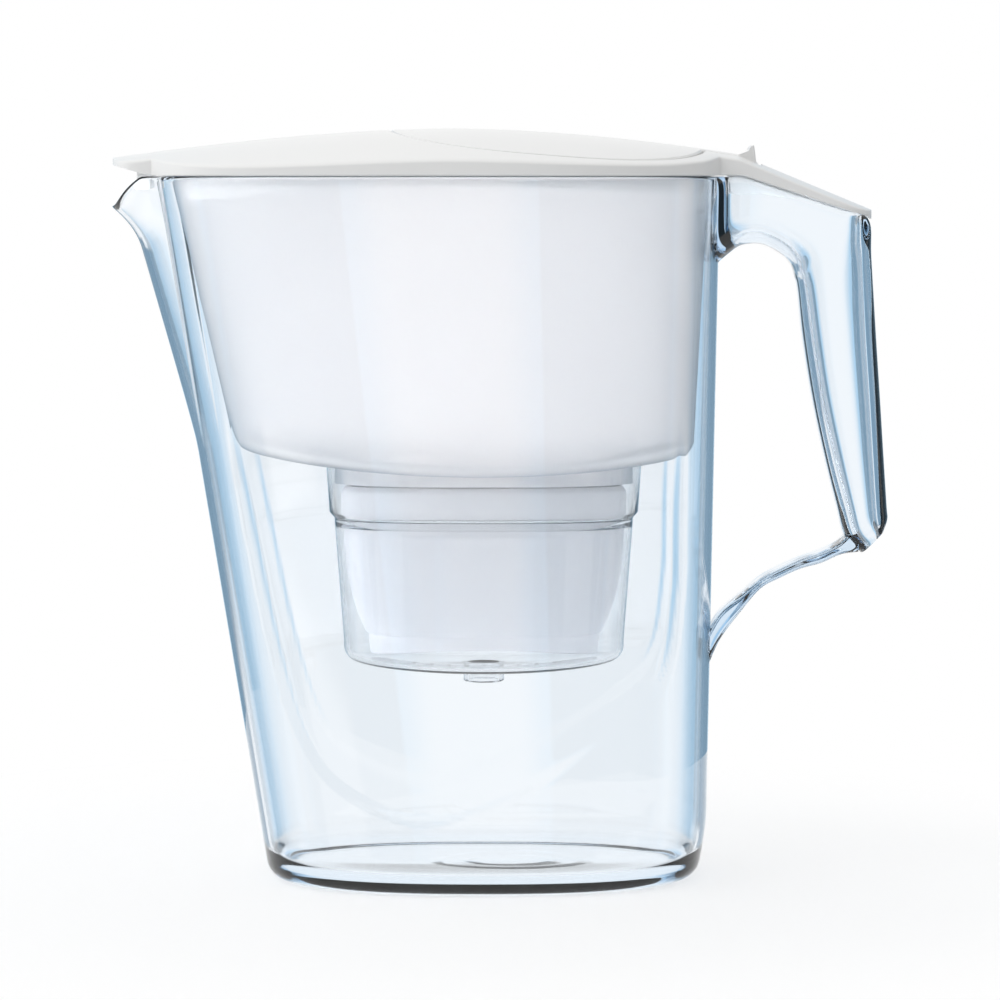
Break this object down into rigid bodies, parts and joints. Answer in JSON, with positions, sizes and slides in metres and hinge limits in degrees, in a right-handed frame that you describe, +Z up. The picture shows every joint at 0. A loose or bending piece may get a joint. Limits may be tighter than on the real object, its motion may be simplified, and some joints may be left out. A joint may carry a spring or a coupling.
{
  "type": "water filter pitcher",
  "caption": "Fridge-door water filter jug: clear oval jug with spout and hollow handle, hanging funnel with an oval filter cartridge, white lid with a hinged fill flap.",
  "frame": {"origin": "centre of the flat base on the surface that the jug stands on", "axes": "+Z up, +X from the spout to the handle, +Y across the jug away from the pictured side"},
  "size_m": [0.2673, 0.1076, 0.2574],
  "materials": {
    "clear_san": "polished clear pale-blue styrene acrylonitrile, injection moulded",
    "milky_san": "milky translucent plastic, smooth moulded",
    "grey_clear_san": "clear plastic with a slight grey tint, polished",
    "cartridge_plastic": "satin pale lilac-grey polypropylene",
    "seal_rubber": "soft white thermoplastic elastomer",
    "felt": "white non-woven polypropylene",
    "carbon": "black activated carbon granules",
    "resin": "amber ion-exchange resin beads",
    "white_plastic": "white moulded plastic, fine satin gloss"
  },
  "bodies": {
    "jug": {"jug_body": "clear_san", "jug_handle": "clear_san"},
    "funnel_unit": {"funnel": "milky_san", "filter_housing": "grey_clear_san"},
    "cartridge": {"cartridge_case": "cartridge_plastic", "cartridge_cap": "cartridge_plastic", "cartridge_seal": "seal_rubber", "inlet_felt": "felt", "carbon_bed": "carbon", "divider_screen": "felt", "resin_bed": "resin", "outlet_felt": "felt"},
    "lid_unit": {"lid": "white_plastic"},
    "flap": {"fill_flap": "white_plastic"}
  },
  "joints": [
    {"name": "funnel_lift", "type": "slide", "parent": "jug", "child": "funnel_unit", "axis": [0, 0, 1], "range_m": [0, 0.18]},
    {"name": "cartridge_lift", "type": "slide", "parent": "funnel_unit", "child": "cartridge", "axis": [0, 0, 1], "range_m": [0, 0.075]},
    {"name": "lid_lift", "type": "slide", "parent": "funnel_unit", "child": "lid_unit", "axis": [0, 0, 1], "range_m": [0, 0.12]},
    {"name": "flap_hinge", "type": "hinge", "parent": "lid_unit", "child": "flap", "pos_m": [0.0845, 0, 0.2448], "axis": [0, 1, 0], "range_deg": [0, 70]}
  ]
}
